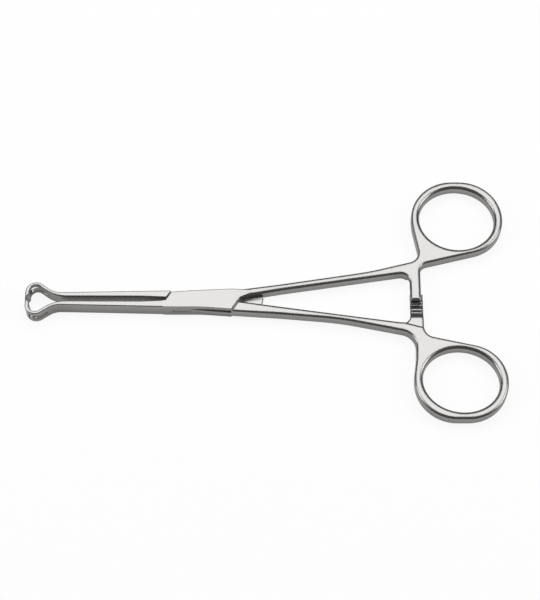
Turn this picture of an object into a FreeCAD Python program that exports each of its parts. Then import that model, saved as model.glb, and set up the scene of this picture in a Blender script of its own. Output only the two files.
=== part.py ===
import FreeCAD
import Part
import math
import os

# Tissue forceps with a box lock, ring handles and fenestrated jaws.
# Millimetres, +X from the lock to the finger rings, +Y to the upper ring.
# +Z up from the underside of the lock.
# The pivot axis stands at X = 0, Y = 0.

V = FreeCAD.Vector

# Heights
LOCK_HEIGHT = 6.0
HANDLE_HEIGHT = 4.3
CHEEK_THICKNESS = 2.05
SLOT_CLEARANCE = 0.08
MID = LOCK_HEIGHT / 2.0
HANDLE_LOW = MID - HANDLE_HEIGHT / 2.0
HANDLE_TOP = MID + HANDLE_HEIGHT / 2.0
TONGUE_LOW = CHEEK_THICKNESS + SLOT_CLEARANCE
TONGUE_TOP = LOCK_HEIGHT - TONGUE_LOW

# Box lock, seen from above
LOCK_HALF_WIDTH = 3.15
FACE_FRONT_X = -10.05
FACE_FRONT_Y = 2.5
HEEL_X = 11.9
HEEL_Y = 0.42
SLOT_MOUTH_X = 9.4
REAR_FACE_OUT = 0.5
LOCK_REAR_FLARE = 0.7
SHOULDER_GAP = 0.5
WALL_GAP = 0.1
TONGUE_LEAD = 0.45
BLOCK_END_X = 17.0
BLOCK_END_FAR = 3.7
BLOCK_END_NEAR = 2.9
BLOCK_SIDE = 3.62
RAMP_START = 10.5
RAMP_END = 17.5

# Jaws
JAW_LENGTH = 58.7
JAW_ROOT_WIDTH = 3.12
JAW_NECK_WIDTH = 2.32
JAW_INNER = 0.8
JAW_ROOT_INNER = 0.45
JAW_RISE = 0.4
JAW_EDGE = 0.35
JAW_STRAIGHT = 20.0
JAW_SWEEP = 20.0
HEAD_RADIUS = 3.5
HEAD_BACK = 3.5
HEAD_SIDE = 2.4
FLANK_ANGLE = 36.0
RIBBON = 1.15
FRONT_BAR = 1.28
TIP_GAP = 0.03
TIP_BEVEL = 1.42
NECK_BLEND_OUT = 7.0
NECK_BLEND_IN = 12.0
RIDGE_COUNT = 3
RIDGE_DEPTH = 0.16
WINDOW_LENGTH = 8.6
WINDOW_HEIGHT = 3.3
WINDOW_CORNER = 0.55

# Handles
SHANK_EDGE = 0.85
RING_INNER_EDGE = 1.2
UPPER_RING_X = 86.3
UPPER_RING_Y = 30.75
UPPER_OPENING_LONG = 25.5
UPPER_OPENING_SHORT = 23.3
UPPER_TURN = -6.0
LOWER_RING_X = 85.2
LOWER_RING_Y = -28.95
LOWER_OPENING_LONG = 25.2
LOWER_OPENING_SHORT = 22.2
LOWER_TURN = -9.0
RING_WALL = 2.8
STEM_BLEND = 3.8
LOWER_STEM_BLEND = 5.5
BAR_BLEND = 3.0
ROOT_X = 8.0
ROOT_FAR = 3.4
ROOT_NEAR = 0.2
NECK_X = 26.0
NECK_SWEEP = 100.0
UPPER_NECK_FAR = 5.95
UPPER_NECK_NEAR = 3.5
UPPER_NECK_SWEEP = 150.0
UPPER_KNEE_X = 56.0
UPPER_KNEE_FAR = 10.75
UPPER_KNEE_SWEEP = 90.0
UPPER_STEM_X = 73.3
UPPER_STEM_Y = 15.2
LOWER_NECK_FAR = -5.35
LOWER_KNEE_X = 46.0
LOWER_KNEE_FAR = -7.15
LOWER_STEM_X = 71.0
LOWER_STEM_Y = -12.35

# Ratchet
BAR_LEFT = 69.5
BAR_WIDTH = 3.9
BAR_CREST_GAP = 0.1
BAR_TRIM = 3.0
BAR_CORNER = 1.0
UPPER_BAR_END = 0.2
UPPER_BAR_ROOT = 10.2
LOWER_BAR_END = 3.0
LOWER_BAR_ROOT = -8.5
TOOTH_PITCH = 2.65
TOOTH_DEPTH = 0.85
LOWER_TEETH = 4
UPPER_TEETH = 3
LOWER_FIRST_CREST = -5.65
UPPER_FIRST_CREST = 0.6

# Web between the shanks
WEB_LENGTH = 20.8
WEB_FAR = 3.2
WEB_NEAR = -1.15
WEB_LOW = 0.2
WEB_HIGH = 1.7

# Pivot pin
PIN_RADIUS = 1.3
PIN_RUNNING_CLEARANCE = 0.04
PIN_HEAD_FLARE = 0.35
PIN_HEAD_HEIGHT = 0.5

FAR = 40.0


def direction(a, b):
    """Unit vector from corner a to corner b."""
    step = V(b[0] - a[0], b[1] - a[1], 0)
    return step.normalize()


def outline(corners, z=0.0):
    """Flat face from corners (x, y, radius), each corner turned into an arc of its radius."""
    stops = []
    for i, corner in enumerate(corners):
        after = corners[(i + 1) % len(corners)]
        here = V(corner[0], corner[1], 0)
        if corner[2] == 0:
            stops.append([here])
            continue
        back = direction(corner, corners[i - 1])
        ahead = direction(corner, after)
        half = back.getAngle(ahead) / 2.0
        middle = (back + ahead).normalize()
        centre = here + middle * (corner[2] / math.sin(half))
        run = corner[2] / math.tan(half)
        stops.append([here + back * run, centre - middle * corner[2], here + ahead * run])
    edges = []
    for i, stop in enumerate(stops):
        following = stops[(i + 1) % len(stops)]
        if len(stop) == 3:
            edges.append(Part.Arc(stop[0], stop[1], stop[2]).toShape())
        if stop[-1].distanceToPoint(following[0]) > 1e-6:
            edges.append(Part.makeLine(stop[-1], following[0]))
    face = Part.Face(Part.Wire(edges))
    face.translate(V(0, 0, z))
    return face


def radius_for_run(before, corner, after, run):
    """Radius whose arc starts at a given run before the corner."""
    half = direction(corner, before).getAngle(direction(corner, after)) / 2.0
    return run * math.tan(half)


def slab(corners, low, top):
    """Upright block over an outline, between two heights."""
    return outline(corners, low).extrude(V(0, 0, top - low))


def level_edges(shape, low, top, left=-4 * FAR, right=4 * FAR):
    """Edges that lie flat in the bottom or the top plane, between two X values."""
    found = []
    for edge in shape.Edges:
        box = edge.BoundBox
        flat = box.ZLength < 1e-4 and min(abs(box.ZMin - low), abs(box.ZMin - top)) < 1e-4
        if flat and box.XMin >= left and box.XMax <= right:
            found.append(edge)
    return found


# Front diagonal of the cheeks: its direction and the outward normal towards the jaws
DIAGONAL = V(-HEEL_X - FACE_FRONT_X, -HEEL_Y - FACE_FRONT_Y, 0).normalize()
DIAGONAL_NORMAL = V(DIAGONAL.y, -DIAGONAL.x, 0)


def on_diagonal(y, gap):
    """Point of the front diagonal at a height y, moved out by a gap."""
    start = V(FACE_FRONT_X, FACE_FRONT_Y, 0) + DIAGONAL_NORMAL * gap
    return start + DIAGONAL * ((y - start.y) / DIAGONAL.y)


def slot_wall(y, gap):
    """Point of the front end wall of the slot at a height y, moved into the slot by a gap."""
    heel = V(-HEEL_X, -HEEL_Y, 0)
    run = V(-SLOT_MOUTH_X + HEEL_X, -LOCK_HALF_WIDTH + HEEL_Y, 0).normalize()
    normal = V(-run.y, run.x, 0)
    start = heel + normal * gap
    return start + run * ((y - start.y) / run.y)


def lean(x):
    """Side step of the jaw heads, which sit a little towards the upper ring."""
    neck = -JAW_LENGTH + HEAD_BACK + HEAD_RADIUS + 4.5
    return JAW_RISE * min(1.0, max(0.0, (neck - x) / 8.0))


def jaw_corners(side):
    """Outline of one jaw from its root out to the tip and back, for side +1 or -1."""
    slope = math.radians(FLANK_ANGLE)
    nx = math.sin(slope)
    ny = math.cos(slope)
    front = -JAW_LENGTH
    centre_x = front + HEAD_BACK
    centre_y = HEAD_SIDE
    inner_front = front + FRONT_BAR
    inner_radius = HEAD_RADIUS - RIBBON
    top_y = centre_y + (HEAD_RADIUS - (front - centre_x) * nx) / ny
    inner_top_y = centre_y + (inner_radius - (inner_front - centre_x) * nx) / ny
    neck_x = centre_x + (HEAD_RADIUS - (JAW_NECK_WIDTH - centre_y) * ny) / nx
    inner_neck_x = centre_x + (inner_radius - (JAW_INNER - centre_y) * ny) / nx
    points = [
        (-SLOT_MOUTH_X, JAW_ROOT_WIDTH, 0),
        (neck_x, JAW_NECK_WIDTH, NECK_BLEND_OUT),
        (front, top_y, HEAD_RADIUS),
        (front, TIP_GAP, 0),
        (inner_front, TIP_GAP + TIP_BEVEL, 0.15),
        (inner_front, inner_top_y, centre_x - inner_front),
        (inner_neck_x, JAW_INNER, NECK_BLEND_IN),
        (-JAW_STRAIGHT, JAW_INNER, JAW_SWEEP),
        (-HEEL_X, JAW_ROOT_INNER, 0),
    ]
    return [(x, lean(x) + side * y, r) for x, y, r in points]


def jaw(side, root):
    """One fenestrated jaw, closed at its root by the extra corners given."""
    solid = slab(jaw_corners(side) + root, 0, LOCK_HEIGHT)
    solid = solid.makeFillet(JAW_EDGE, level_edges(solid, 0, LOCK_HEIGHT, -4 * FAR, -HEEL_X + 1e-3))
    inner_front = -JAW_LENGTH + FRONT_BAR
    window = [
        V(inner_front, -FAR, MID - WINDOW_HEIGHT / 2.0),
        V(inner_front, -FAR, MID + WINDOW_HEIGHT / 2.0),
        V(inner_front + WINDOW_LENGTH, -FAR, MID),
    ]
    opening = Part.Face(Part.makePolygon(window + window[:1])).extrude(V(0, 2 * FAR, 0))
    opening = opening.makeFillet(WINDOW_CORNER, [e for e in opening.Edges if e.BoundBox.YLength > FAR])
    solid = solid.cut(opening)
    for k in range(RIDGE_COUNT):
        share = (k + 0.8) / (RIDGE_COUNT + 0.6)
        x = -JAW_LENGTH + FRONT_BAR * share
        y = lean(x) + side * (TIP_GAP + TIP_BEVEL * share)
        half = TIP_BEVEL / (RIDGE_COUNT + 0.6) / 2.0
        groove = Part.makeBox(2 * half, 2 * half, LOCK_HEIGHT + 2, V(-half, -half, -1))
        groove.translate(V(x, y - side * (half * math.sqrt(2) - RIDGE_DEPTH), 0))
        solid = solid.cut(groove)
    return solid


def opening_cut(x, y, long_axis, short_axis, turn):
    """Oval cutter for a finger ring."""
    oval = Part.Ellipse(V(0, 0, 0), long_axis / 2.0, short_axis / 2.0).toShape()
    face = Part.Face(Part.Wire([oval]))
    face.rotate(V(0, 0, 0), V(0, 0, 1), turn)
    face.translate(V(x, y, -1))
    return face.extrude(V(0, 0, LOCK_HEIGHT + 2))


def handle(corners, ring):
    """Shank, ring and ratchet bar as one forging with rounded edges."""
    solid = slab(corners, HANDLE_LOW, HANDLE_TOP)
    solid = solid.makeFillet(SHANK_EDGE, level_edges(solid, HANDLE_LOW, HANDLE_TOP, corners[0][0] + 0.01))
    solid = solid.cut(opening_cut(*ring))
    x, y, long_axis = ring[0], ring[1], ring[2]
    rims = []
    for edge in level_edges(solid, HANDLE_LOW, HANDLE_TOP):
        box = edge.BoundBox
        if abs(box.Center.x - x) < 1.0 and abs(box.Center.y - y) < 1.0 and box.XLength > long_axis / 2.0:
            rims.append(edge)
    return solid.makeFillet(RING_INNER_EDGE, rims)


def teeth(first, count, crest_z, rise):
    """Saw-tooth cutter along Y; rise is the sign of the side that the metal lies on."""
    cutters = []
    for k in range(count):
        crest = first + k * TOOTH_PITCH
        if rise > 0:
            steep = crest
            gentle = crest + TOOTH_PITCH
        else:
            steep = crest + TOOTH_PITCH
            gentle = crest
        profile = [
            V(BAR_LEFT - BAR_BLEND, steep, crest_z - rise * 1e-3),
            V(BAR_LEFT - BAR_BLEND, gentle, crest_z - rise * 1e-3),
            V(BAR_LEFT - BAR_BLEND, steep, crest_z + rise * TOOTH_DEPTH),
        ]
        face = Part.Face(Part.makePolygon(profile + profile[:1]))
        cutters.append(face.extrude(V(BAR_WIDTH + 2 * BAR_BLEND, 0, 0)))
    return cutters


# Box half: upper handle
upper_left = UPPER_RING_X - UPPER_OPENING_LONG / 2.0 - RING_WALL + 0.05
upper_right = UPPER_RING_X + UPPER_OPENING_LONG / 2.0 + RING_WALL
upper_top = UPPER_RING_Y + UPPER_OPENING_SHORT / 2.0 + RING_WALL
upper_low_right = UPPER_RING_Y - 10.45
bar_right = BAR_LEFT + BAR_WIDTH
upper_bend = (upper_right - upper_left) * 0.46
upper_foot = (bar_right - 0.25, 13.1)
upper_low_bend = radius_for_run((upper_right, upper_top), (upper_right, upper_low_right), upper_foot,
                                upper_top - upper_bend - upper_low_right - 0.2)
upper_handle_corners = [
    (ROOT_X, ROOT_FAR, 0),
    (NECK_X, UPPER_NECK_FAR, UPPER_NECK_SWEEP),
    (UPPER_KNEE_X, UPPER_KNEE_FAR, UPPER_KNEE_SWEEP),
    (UPPER_STEM_X, UPPER_STEM_Y, STEM_BLEND),
    (upper_left, UPPER_RING_Y - 2.5, 25.0),
    (upper_left, upper_top, upper_bend),
    (upper_right, upper_top, upper_bend),
    (upper_right, upper_low_right, upper_low_bend),
    (upper_foot[0], upper_foot[1], BAR_BLEND),
    (bar_right - 0.25, UPPER_BAR_END - BAR_TRIM, BAR_CORNER),
    (BAR_LEFT, UPPER_BAR_END - BAR_TRIM, BAR_CORNER),
    (BAR_LEFT, UPPER_BAR_ROOT, BAR_BLEND),
    (NECK_X, UPPER_NECK_NEAR, NECK_SWEEP),
    (ROOT_X, ROOT_NEAR, 0),
]
upper_ring = (UPPER_RING_X, UPPER_RING_Y, UPPER_OPENING_LONG, UPPER_OPENING_SHORT, UPPER_TURN)
upper_handle = handle(upper_handle_corners, upper_ring)
upper_crest_z = MID + BAR_CREST_GAP / 2.0
under_bar = slab([
    (BAR_LEFT - BAR_BLEND - 1.0, -FAR, 0),
    (bar_right + BAR_BLEND + 1.0, -FAR, 0),
    (bar_right + BAR_BLEND + 1.0, 11.2, 0),
    (BAR_LEFT - BAR_BLEND - 1.0, 8.6, 0),
], -1.0, upper_crest_z)
upper_handle = upper_handle.cut(under_bar)
past_end = Part.makeBox(BAR_WIDTH + 2.0, BAR_TRIM + 1.0, LOCK_HEIGHT)
past_end.translate(V(BAR_LEFT - 1.0, UPPER_BAR_END - BAR_TRIM - 1.0, 0))
upper_handle = upper_handle.cut(past_end)
for cutter in teeth(UPPER_FIRST_CREST, UPPER_TEETH, upper_crest_z, 1):
    upper_handle = upper_handle.cut(cutter)

# Box half: lower jaw, cheeks and the block that fades into the upper shank
lock_rear_y = -LOCK_HALF_WIDTH - LOCK_REAR_FLARE
rear_low = -on_diagonal(-lock_rear_y, REAR_FACE_OUT)
rear_heel = -on_diagonal(-HEEL_Y - 0.2, REAR_FACE_OUT)
lock_corners = [
    (FACE_FRONT_X, FACE_FRONT_Y, 0),
    (-4.0, 3.0, 20.0),
    (SLOT_MOUTH_X, BLOCK_SIDE, 0),
    (BLOCK_END_X, BLOCK_END_FAR, 0),
    (BLOCK_END_X, BLOCK_END_NEAR, 0),
    (rear_heel.x, rear_heel.y, 0),
    (rear_low.x, rear_low.y, 0),
    (0.0, -LOCK_HALF_WIDTH + 0.05, 60.0),
    (-SLOT_MOUTH_X, -JAW_ROOT_WIDTH, 0),
    (-HEEL_X - 1.0, -JAW_ROOT_WIDTH + 0.05, 0),
    (-HEEL_X - 1.0, -HEEL_Y - 0.05, 0),
    (-HEEL_X, -HEEL_Y, 0),
]
lower_jaw = jaw(-1, [(-HEEL_X + 2.0, -JAW_ROOT_INNER, 0), (-SLOT_MOUTH_X + 0.5, -JAW_ROOT_WIDTH + 0.1, 0)])
lock = slab(lock_corners, 0, LOCK_HEIGHT)
ramp = Part.Face(Part.makePolygon([
    V(RAMP_START, -FAR, LOCK_HEIGHT),
    V(RAMP_END, -FAR, HANDLE_TOP - 0.1),
    V(RAMP_END, -FAR, LOCK_HEIGHT + 1.0),
    V(RAMP_START, -FAR, LOCK_HEIGHT + 1.0),
    V(RAMP_START, -FAR, LOCK_HEIGHT),
])).extrude(V(0, 2 * FAR, 0))
lock = lock.cut(ramp)
lock = lock.cut(ramp.mirror(V(0, 0, MID), V(0, 0, 1)))
box_half = lock.fuse(lower_jaw).fuse(upper_handle)

# Slot through the lock, open on both sides and closed by slanted walls at the ends
wall_up = slot_wall(FAR / 8.0, 0)
wall_down = slot_wall(-FAR / 4.0, 0)
slot = slab([
    (wall_up.x, wall_up.y, 0),
    (wall_down.x, wall_down.y, 0),
    (-wall_up.x, wall_down.y, 0),
    (-wall_up.x, -wall_up.y, 0),
    (-wall_down.x, -wall_down.y, 0),
    (wall_up.x, -wall_down.y, 0),
], CHEEK_THICKNESS, LOCK_HEIGHT - CHEEK_THICKNESS)
box_half = box_half.cut(slot)

# Low web in the crotch between the shanks
web = slab([
    (HEEL_X + 0.6, HEEL_Y + 0.6, 0),
    (WEB_LENGTH - 1.8, WEB_FAR, 0),
    (WEB_LENGTH, WEB_FAR, 1.2),
    (WEB_LENGTH - 0.8, WEB_NEAR, 0.5),
    (HEEL_X + 1.4, -0.15, 0.3),
], HANDLE_LOW + WEB_LOW, HANDLE_LOW + WEB_HIGH)
box_half = box_half.fuse(web)

# Bores for the pin, flared where it is peened
bore = Part.makeCylinder(PIN_RADIUS, LOCK_HEIGHT)
for low, flip in ((0.0, 0), (LOCK_HEIGHT, 1)):
    if flip:
        flare = Part.makeCone(PIN_RADIUS, PIN_RADIUS + PIN_HEAD_FLARE, PIN_HEAD_HEIGHT,
                              V(0, 0, LOCK_HEIGHT - PIN_HEAD_HEIGHT))
    else:
        flare = Part.makeCone(PIN_RADIUS + PIN_HEAD_FLARE, PIN_RADIUS, PIN_HEAD_HEIGHT)
    bore = bore.fuse(flare)
pivot_pin = bore.removeSplitter()
box_half = box_half.cut(pivot_pin)
box_half = box_half.removeSplitter()

# Tongue half: lower handle
lower_left = LOWER_RING_X - LOWER_OPENING_LONG / 2.0 - RING_WALL + 0.05
lower_right = LOWER_RING_X + LOWER_OPENING_LONG / 2.0 + RING_WALL
lower_low = LOWER_RING_Y - LOWER_OPENING_SHORT / 2.0 - RING_WALL
lower_bend = (lower_right - lower_left) * 0.44
lower_high_right = LOWER_RING_Y + 10.25
lower_foot = (bar_right + 0.4, -12.65)
lower_high_bend = radius_for_run((lower_right, lower_low), (lower_right, lower_high_right), lower_foot,
                                 lower_high_right - lower_low - lower_bend - 0.2)
rear_gap = REAR_FACE_OUT + SHOULDER_GAP
shoulder_low = -on_diagonal(LOCK_HALF_WIDTH + 1.15, rear_gap)
lower_handle_corners = [
    (shoulder_low.x - 2.0, shoulder_low.y + 0.15, 0),
    (NECK_X, LOWER_NECK_FAR, NECK_SWEEP),
    (LOWER_KNEE_X, LOWER_KNEE_FAR, NECK_SWEEP),
    (LOWER_STEM_X, LOWER_STEM_Y, LOWER_STEM_BLEND),
    (lower_left + 0.9, -21.0, 25.0),
    (lower_left, LOWER_RING_Y + 1.5, 20.0),
    (lower_left, lower_low, lower_bend),
    (lower_right, lower_low, lower_bend),
    (lower_right, lower_high_right, lower_high_bend),
    (lower_foot[0], lower_foot[1], BAR_BLEND + 0.7),
    (bar_right + 0.4, LOWER_BAR_END + BAR_TRIM, BAR_CORNER),
    (BAR_LEFT, LOWER_BAR_END + BAR_TRIM, BAR_CORNER),
    (BAR_LEFT, LOWER_BAR_ROOT, BAR_BLEND + 0.4),
    (8.0, 0.3, 0),
]
lower_ring = (LOWER_RING_X, LOWER_RING_Y, LOWER_OPENING_LONG, LOWER_OPENING_SHORT, LOWER_TURN)
lower_handle = handle(lower_handle_corners, lower_ring)
lower_crest_z = MID - BAR_CREST_GAP / 2.0
over_bar = slab([
    (BAR_LEFT - BAR_BLEND - 1.5, FAR, 0),
    (bar_right + BAR_BLEND + 1.5, FAR, 0),
    (bar_right + BAR_BLEND + 1.5, -11.3, 0),
    (BAR_LEFT - BAR_BLEND - 1.5, -7.7, 0),
], lower_crest_z, LOCK_HEIGHT)
lower_handle = lower_handle.cut(over_bar)
past_end = Part.makeBox(BAR_WIDTH + 2.0, BAR_TRIM + 1.0, LOCK_HEIGHT)
past_end.translate(V(BAR_LEFT - 1.0, LOWER_BAR_END, 0))
lower_handle = lower_handle.cut(past_end)
for cutter in teeth(LOWER_FIRST_CREST, LOWER_TEETH, lower_crest_z, -1):
    lower_handle = lower_handle.cut(cutter)

# Tongue half: the space that the cheeks take, bounded by the two shoulders
front_up = on_diagonal(FAR / 4.0, SHOULDER_GAP)
front_down = on_diagonal(-FAR / 4.0, SHOULDER_GAP)
rear_up = on_diagonal(FAR / 4.0, rear_gap)
rear_down = on_diagonal(-FAR / 4.0, rear_gap)
cheek_space = [
    (front_up.x, front_up.y, 0),
    (front_down.x, front_down.y, 0),
    (-rear_up.x, -rear_up.y, 0),
    (-rear_down.x, -rear_down.y, 0),
]
upper_jaw = jaw(1, [(-HEEL_X + 2.0, JAW_ROOT_INNER, 0), (-SLOT_MOUTH_X + 0.5, JAW_ROOT_WIDTH, 0)])
tongue_half = upper_jaw.fuse(lower_handle)
tongue_half = tongue_half.cut(slab(cheek_space, -1.0, LOCK_HEIGHT + 1.0))

wall_heel = slot_wall(-HEEL_Y + 0.1, WALL_GAP)
wall_mouth = slot_wall(-LOCK_HALF_WIDTH + 0.1, WALL_GAP)
front_top = on_diagonal(JAW_ROOT_WIDTH, SHOULDER_GAP)
tongue_corners = [
    (front_top.x - 1.0, JAW_ROOT_WIDTH, 0),
    (-wall_mouth.x, -wall_mouth.y, 0),
    (-wall_heel.x, -wall_heel.y, 0),
    (-front_top.x + 3.0, -JAW_ROOT_INNER - 0.3, 0),
    (rear_low.x + 1.6, lock_rear_y - TONGUE_LEAD + 0.05, 0),
    (rear_low.x, lock_rear_y - TONGUE_LEAD, 0),
    (-3.8, -LOCK_HALF_WIDTH + 0.1, 30.0),
    (wall_mouth.x, wall_mouth.y, 0),
    (wall_heel.x, wall_heel.y, 0),
    (front_top.x - 2.0, JAW_ROOT_INNER + 0.1, 0),
]
tongue = slab(tongue_corners, TONGUE_LOW, TONGUE_TOP)
tongue_half = tongue_half.fuse(tongue)
tongue_half = tongue_half.cut(Part.makeCylinder(PIN_RADIUS + PIN_RUNNING_CLEARANCE, LOCK_HEIGHT))
tongue_half = tongue_half.removeSplitter()

PARTS = {"box_half": box_half, "tongue_half": tongue_half, "pivot_pin": pivot_pin}

os.makedirs("parts", exist_ok=True)
for name, shape in PARTS.items():
    shape.exportStep("parts/" + name + ".step")
    size = shape.BoundBox
    print(name, "solids", len(shape.Solids), "valid", shape.isValid(), "volume", round(shape.Volume, 2),
          [round(v, 2) for v in (size.XMin, size.XMax, size.YMin, size.YMax, size.ZMin, size.ZMax)])
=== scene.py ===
"""Looks of a pair of tissue forceps: satin steel on a white floor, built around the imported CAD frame."""

from __future__ import annotations

import logging
import math
from dataclasses import dataclass
from enum import Enum

import bmesh
import bpy
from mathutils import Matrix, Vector


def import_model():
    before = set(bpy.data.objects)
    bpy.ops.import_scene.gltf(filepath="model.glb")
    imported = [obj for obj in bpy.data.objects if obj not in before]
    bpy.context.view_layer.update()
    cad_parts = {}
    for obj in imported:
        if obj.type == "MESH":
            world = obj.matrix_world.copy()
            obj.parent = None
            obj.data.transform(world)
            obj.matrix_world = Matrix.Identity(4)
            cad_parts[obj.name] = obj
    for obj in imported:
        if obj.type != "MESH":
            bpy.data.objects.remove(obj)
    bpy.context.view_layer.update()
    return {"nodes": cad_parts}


LOG = logging.getLogger("forceps")
MM = 0.001
UNSCALED = (1.0, 1.0, 1.0)
SIDEWAYS_ONLY = (1.0, 1.0, 0.0)
WHITE = (1.0, 1.0, 1.0, 1.0)
NOISE_MIDDLE = 0.5
NOISE_ROUGHNESS = 0.6


class Ray(Enum):
    """Kinds of ray that Light Path tells apart."""

    CAMERA = "Is Camera Ray"
    GLOSSY = "Is Glossy Ray"
    TRANSMISSION = "Is Transmission Ray"


class Maths:
    """A value socket that takes part in Python expressions and adds its Math nodes."""

    def __init__(self, graph: "Graph", socket: bpy.types.NodeSocket) -> None:
        """Keep a socket and the graph that it belongs to."""
        self.graph = graph
        self.socket = socket

    def _math(self, operation: str, first: object, second: object) -> "Maths":
        """Add one Math node.

        Args:
            operation: Blender's name of the operation.
            first: left value, a Maths or a number.
            second: right value, a Maths or a number.

        Returns:
            The node's result.
        """
        return self.graph.node("ShaderNodeMath", {"operation": operation}, {0: first, 1: second})

    def __add__(self, other: object) -> "Maths":
        """Sum of two values."""
        return self._math("ADD", self, other)

    def __radd__(self, other: object) -> "Maths":
        """Sum with a number on the left."""
        return self._math("ADD", other, self)

    def __sub__(self, other: object) -> "Maths":
        """Difference of two values."""
        return self._math("SUBTRACT", self, other)

    def __rsub__(self, other: object) -> "Maths":
        """Difference with a number on the left."""
        return self._math("SUBTRACT", other, self)

    def __mul__(self, other: object) -> "Maths":
        """Product of two values."""
        return self._math("MULTIPLY", self, other)

    def __rmul__(self, other: object) -> "Maths":
        """Product with a number on the left."""
        return self._math("MULTIPLY", other, self)

    def clamped(self) -> "Maths":
        """The value held between 0 and 1."""
        return self.graph.node("ShaderNodeClamp", {}, {0: self})


class Graph:
    """Node tree of one material or of the world, with a single method that adds any node."""

    def __init__(self, tree: bpy.types.NodeTree) -> None:
        """Empty a node tree and keep it."""
        tree.nodes.clear()
        self.tree = tree

    def node(self, kind: str, settings: dict, inputs: dict, output: object = 0) -> Maths:
        """Add a node, set it up and wire its inputs.

        Args:
            kind: the node's type name.
            settings: attributes of the node, set first.
            inputs: socket name or index to a Maths or a plain value.
            output: name or index of the output to hand back.

        Returns:
            The chosen output.
        """
        made = self.tree.nodes.new(kind)
        for name, value in settings.items():
            setattr(made, name, value)
        for key, value in inputs.items():
            socket = made.inputs[key]
            if isinstance(value, Maths):
                self.tree.links.new(value.socket, socket)
            else:
                socket.default_value = value
        if not made.outputs:
            return Maths(self, made.inputs[0])
        return Maths(self, made.outputs[output])

    def object_point(self, scale: tuple[float, float, float]) -> Maths:
        """Object coordinates, stretched by a scale along each axis."""
        place = self.node("ShaderNodeTexCoord", {}, {}, "Object")
        return self.node("ShaderNodeMapping", {}, {"Vector": place, "Scale": scale})

    def noise(self, scale: tuple[float, float, float], detail: float) -> Maths:
        """Noise between 0 and 1 over the object, with a scale along each axis."""
        return self.node("ShaderNodeTexNoise", {}, {
            "Vector": self.object_point(scale),
            "Scale": 1.0,
            "Detail": detail,
            "Roughness": NOISE_ROUGHNESS,
        }, "Fac")

    def ray(self, kind: Ray) -> Maths:
        """Light Path's answer for one kind of ray."""
        return self.node("ShaderNodeLightPath", {}, {}, kind.value)


@dataclass(frozen=True)
class SatinSteel:
    """Stainless steel with a satin finish, brushed along the instrument.

    flat_radius is the reach round the pivot axis in which edges aren't softened, zero for none.
    """

    name: str
    light: tuple[float, float, float] = (0.482, 0.477, 0.469)
    dark: tuple[float, float, float] = (0.396, 0.389, 0.379)
    roughness: float = 0.24
    roughness_spread: float = 0.12
    edge_radius: float = 0.42 * MM
    edge_samples: int = 8
    handle_edge_radius: float = 1.25 * MM
    handle_edge_samples: int = 16
    handle_start: float = 14.0 * MM
    handle_full: float = 24.0 * MM
    flat_radius: float = 0.0
    grain_along: float = 60.0
    grain_across: float = 2600.0
    grain_detail: float = 3.0
    grain_share: float = 0.55
    cloud_scale: float = 140.0
    cloud_detail: float = 4.0
    cloud_share: float = 0.45
    grain_height: float = 0.004 * MM
    grain_strength: float = 0.2

    def material(self) -> bpy.types.Material:
        """Build the finish.

        Returns:
            A material with colour, roughness and grain that follow the brushing.
        """
        made = bpy.data.materials.new(self.name)
        made.use_nodes = True
        graph = Graph(made.node_tree)
        grain = graph.noise((self.grain_along, self.grain_across, self.grain_across), self.grain_detail)
        clouds = graph.noise((self.cloud_scale, self.cloud_scale, self.cloud_scale), self.cloud_detail)
        tone = (grain * self.grain_share + clouds * self.cloud_share).clamped()
        colour = graph.node("ShaderNodeMix", {"data_type": "RGBA"}, {
            "Factor": tone,
            "A": (*self.dark, 1.0),
            "B": (*self.light, 1.0),
        }, "Result")
        roughness = (self.roughness + (grain - NOISE_MIDDLE) * self.roughness_spread
                     + (clouds - NOISE_MIDDLE) * self.roughness_spread)
        soft_edge = self.edge_normal(graph)
        relief = graph.node("ShaderNodeBump", {}, {
            "Strength": self.grain_strength,
            "Distance": self.grain_height,
            "Height": grain,
            "Normal": soft_edge,
        })
        steel = graph.node("ShaderNodeBsdfPrincipled", {}, {
            "Base Color": colour,
            "Metallic": 1.0,
            "Roughness": roughness.clamped(),
            "Normal": relief,
        })
        graph.node("ShaderNodeOutputMaterial", {}, {"Surface": steel})
        return made

    def edge_normal(self, graph: Graph) -> Maths:
        """Softened edges: narrow on jaws and lock, wide on the forged handles, none at the flush pin.

        Args:
            graph: the material's node tree.

        Returns:
            The normal that the steel is shaded with, before its grain.
        """
        place = graph.object_point(UNSCALED)
        narrow = graph.node("ShaderNodeBevel", {"samples": self.edge_samples}, {"Radius": self.edge_radius})
        wide = graph.node("ShaderNodeBevel", {"samples": self.handle_edge_samples}, {
            "Radius": self.handle_edge_radius,
        })
        along = graph.node("ShaderNodeSeparateXYZ", {}, {0: place}, "X")
        share = graph.node("ShaderNodeMapRange", {}, {
            "Value": along,
            "From Min": self.handle_start,
            "From Max": self.handle_full,
        }, "Result")
        softened = self.blend(graph, share, narrow, wide)
        if self.flat_radius == 0.0:
            return softened
        true_normal = graph.node("ShaderNodeNewGeometry", {}, {}, "Normal")
        flattened = graph.node("ShaderNodeVectorMath", {"operation": "MULTIPLY"}, {
            0: place,
            1: SIDEWAYS_ONLY,
        })
        reach = graph.node("ShaderNodeVectorMath", {"operation": "LENGTH"}, {0: flattened}, "Value")
        outside = graph.node("ShaderNodeMath", {"operation": "GREATER_THAN"}, {0: reach, 1: self.flat_radius})
        return self.blend(graph, outside, true_normal, softened)

    @staticmethod
    def blend(graph: Graph, share: Maths, first: Maths, second: Maths) -> Maths:
        """Mix of two directions.

        Args:
            graph: the material's node tree.
            share: 0 for the first direction, 1 for the second.
            first: direction at 0.
            second: direction at 1.

        Returns:
            The mixed direction.
        """
        return graph.node("ShaderNodeMix", {"data_type": "VECTOR"}, {
            "Factor": share,
            "A": first,
            "B": second,
        }, "Result")


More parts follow.
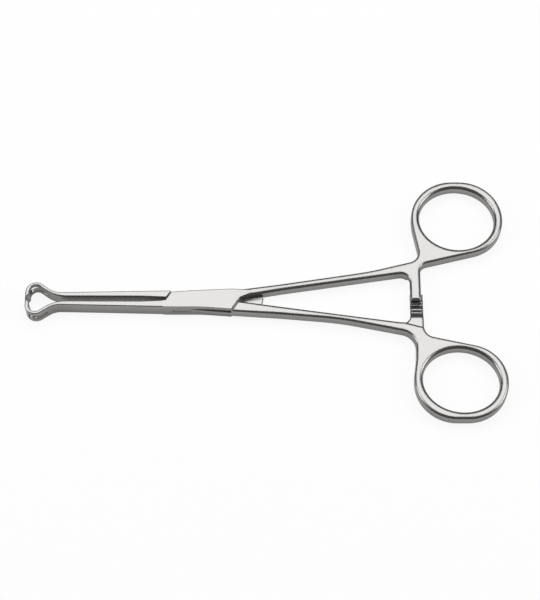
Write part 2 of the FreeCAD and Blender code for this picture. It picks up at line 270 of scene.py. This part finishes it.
@dataclass(frozen=True)
class WhiteFloor:
    """Seamless white floor that keeps a soft shadow of the object."""

    half_size: float = 2.0
    paint: float = 0.82
    glow: float = 1.095
    seen_share: float = 0.82
    mirrored_share: float = 0.201

    def material(self) -> bpy.types.Material:
        """Build the floor's paint, which looks white to the camera and keeps shadows."""
        made = bpy.data.materials.new("white_floor")
        made.use_nodes = True
        graph = Graph(made.node_tree)
        paint = graph.node("ShaderNodeBsdfDiffuse", {}, {"Color": (self.paint, self.paint, self.paint, 1.0)})
        glow = graph.node("ShaderNodeEmission", {}, {"Color": WHITE, "Strength": self.glow})
        share = (graph.ray(Ray.CAMERA) * self.seen_share
                 + graph.ray(Ray.GLOSSY) * self.mirrored_share
                 + graph.ray(Ray.TRANSMISSION) * self.seen_share)
        mixed = graph.node("ShaderNodeMixShader", {}, {0: share.clamped(), 1: paint, 2: glow})
        graph.node("ShaderNodeOutputMaterial", {}, {"Surface": mixed})
        return made

    def build(self, height: float) -> None:
        """Lay the floor.

        Args:
            height: level of the floor in metres.
        """
        mesh = bmesh.new()
        bmesh.ops.create_grid(mesh, x_segments=1, y_segments=1, size=self.half_size)
        bmesh.ops.translate(mesh, verts=mesh.verts, vec=Vector((0.0, 0.0, height)))
        data = bpy.data.meshes.new("floor")
        mesh.to_mesh(data)
        mesh.free()
        floor = bpy.data.objects.new("floor", data)
        bpy.context.scene.collection.objects.link(floor)
        data.materials.append(self.material())


@dataclass(frozen=True)
class Softbox:
    """Rectangular studio lamp that faces the object."""

    name: str
    azimuth: float
    elevation: float
    distance: float
    width: float
    depth: float
    watts: float

    def build(self, aim: Vector) -> None:
        """Hang the lamp.

        Args:
            aim: point that the lamp faces, in metres.
        """
        data = bpy.data.lights.new(self.name, "AREA")
        data.shape = "RECTANGLE"
        data.size = self.width
        data.size_y = self.depth
        data.energy = self.watts
        lamp = bpy.data.objects.new(self.name, data)
        bpy.context.scene.collection.objects.link(lamp)
        turn = math.radians(self.azimuth)
        tilt = math.radians(self.elevation)
        away = Vector((math.sin(turn) * math.cos(tilt), -math.cos(turn) * math.cos(tilt), math.sin(tilt)))
        lamp.location = aim + away * self.distance
        lamp.rotation_euler = away.to_track_quat("Z", "Y").to_euler()


@dataclass(frozen=True)
class Studio:
    """Floor, lamps and surroundings."""

    floor: WhiteFloor = WhiteFloor()
    floor_level: float = 0.0
    surround: float = 0.10
    lamps: tuple[Softbox, ...] = (
        Softbox("top_softbox", azimuth=180.0, elevation=66.0, distance=0.9, width=0.9, depth=0.62, watts=3.2),
        Softbox("left_softbox", azimuth=-90.0, elevation=38.0, distance=1.0, width=0.5, depth=0.5, watts=2.0),
        Softbox("right_softbox", azimuth=90.0, elevation=38.0, distance=1.0, width=0.5, depth=0.5, watts=2.0),
    )

    def build(self, aim: Vector) -> None:
        """Set up the studio around a point of the object."""
        self.floor.build(self.floor_level)
        for lamp in self.lamps:
            lamp.build(aim)
        world = bpy.data.worlds.new("studio")
        world.use_nodes = True
        graph = Graph(world.node_tree)
        background = graph.node("ShaderNodeBackground", {}, {
            "Color": WHITE,
            "Strength": self.surround,
        })
        graph.node("ShaderNodeOutputWorld", {}, {"Surface": background})
        bpy.context.scene.world = world


@dataclass(frozen=True)
class PhotoCamera:
    """Camera at the photograph's viewing angle, which looks down across the instrument."""

    aim: tuple[float, float, float] = (22.752 * MM, 0.909 * MM, 3.0 * MM)
    distance: float = 591.36 * MM
    elevation: float = 64.0
    sensor: float = 36.0
    lens: float = 118.07
    nearest: float = 0.01

    def build(self) -> None:
        """Place the camera and make it the scene's."""
        data = bpy.data.cameras.new("photo_camera")
        data.sensor_fit = "HORIZONTAL"
        data.sensor_width = self.sensor
        data.lens = self.lens
        data.clip_start = self.nearest
        data.dof.use_dof = False
        camera = bpy.data.objects.new("photo_camera", data)
        bpy.context.scene.collection.objects.link(camera)
        tilt = math.radians(self.elevation)
        away = Vector((0.0, -math.cos(tilt), math.sin(tilt)))
        camera.location = Vector(self.aim) + away * self.distance
        camera.rotation_euler = away.to_track_quat("Z", "Y").to_euler()
        bpy.context.scene.camera = camera


@dataclass
class Forceps:
    """The instrument's CAD pieces and the steel that each one wears."""

    finishes: tuple[tuple[str, SatinSteel], ...] = (
        ("box_half", SatinSteel("satin_steel_box", flat_radius=2.3 * MM)),
        ("tongue_half", SatinSteel("satin_steel_tongue")),
        ("pivot_pin", SatinSteel("satin_steel_pin", flat_radius=2.3 * MM)),
    )

    def dress(self, nodes: dict[str, bpy.types.Object]) -> None:
        """Give each CAD piece its finish.

        Args:
            nodes: the frame's CAD objects by name.
        """
        for name, finish in self.finishes:
            piece = nodes[name]
            material = finish.material()
            for slot in piece.material_slots:
                slot.material = material
            LOG.info("dressed %s with %s", name, finish.name)


def main() -> None:
    """Build the camera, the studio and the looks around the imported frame."""
    logging.basicConfig(level=logging.INFO, format="%(name)s: %(message)s")
    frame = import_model()
    bpy.context.scene.view_settings.view_transform = "Standard"
    camera = PhotoCamera()
    camera.build()
    LOG.info("camera placed")
    Studio().build(Vector(camera.aim))
    LOG.info("studio set up")
    Forceps().dress(frame["nodes"])


if __name__ == "__main__":
    main()
